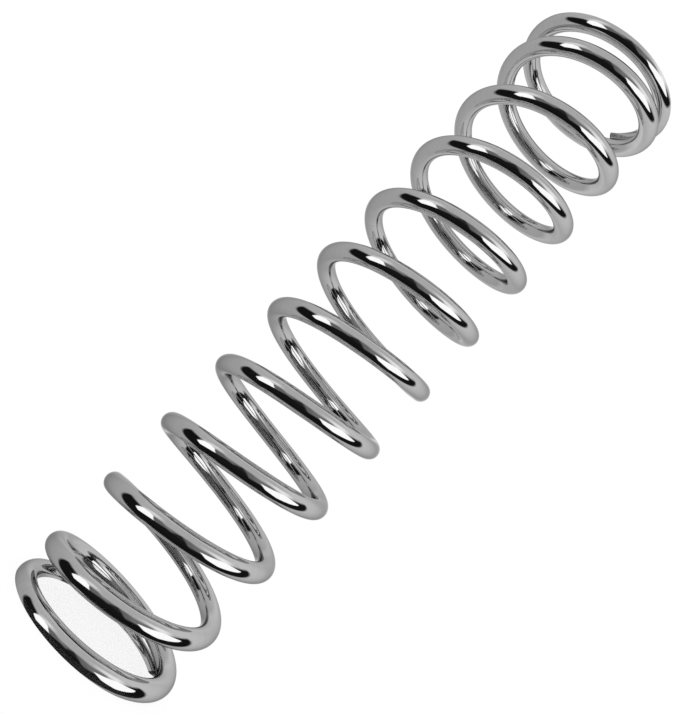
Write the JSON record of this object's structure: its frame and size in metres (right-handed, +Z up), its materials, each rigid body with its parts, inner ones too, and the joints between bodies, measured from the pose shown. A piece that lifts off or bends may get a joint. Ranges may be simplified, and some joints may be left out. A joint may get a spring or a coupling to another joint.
{
  "type": "coil spring",
  "caption": "Right-hand wound steel compression coil spring in polished chrome, with closed and ground ends, for a coilover damper.",
  "frame": {"origin": "centre of the lower ground end face, on the coil's axis", "axes": "+Z up the coil's axis to the upper ground end face; +X through the lower wire tip"},
  "size_m": [0.0824, 0.0824, 0.35],
  "materials": {
    "polished_chrome": "polished"
  },
  "bodies": {
    "root": {"coil_spring": "polished_chrome"}
  },
  "joints": []
}
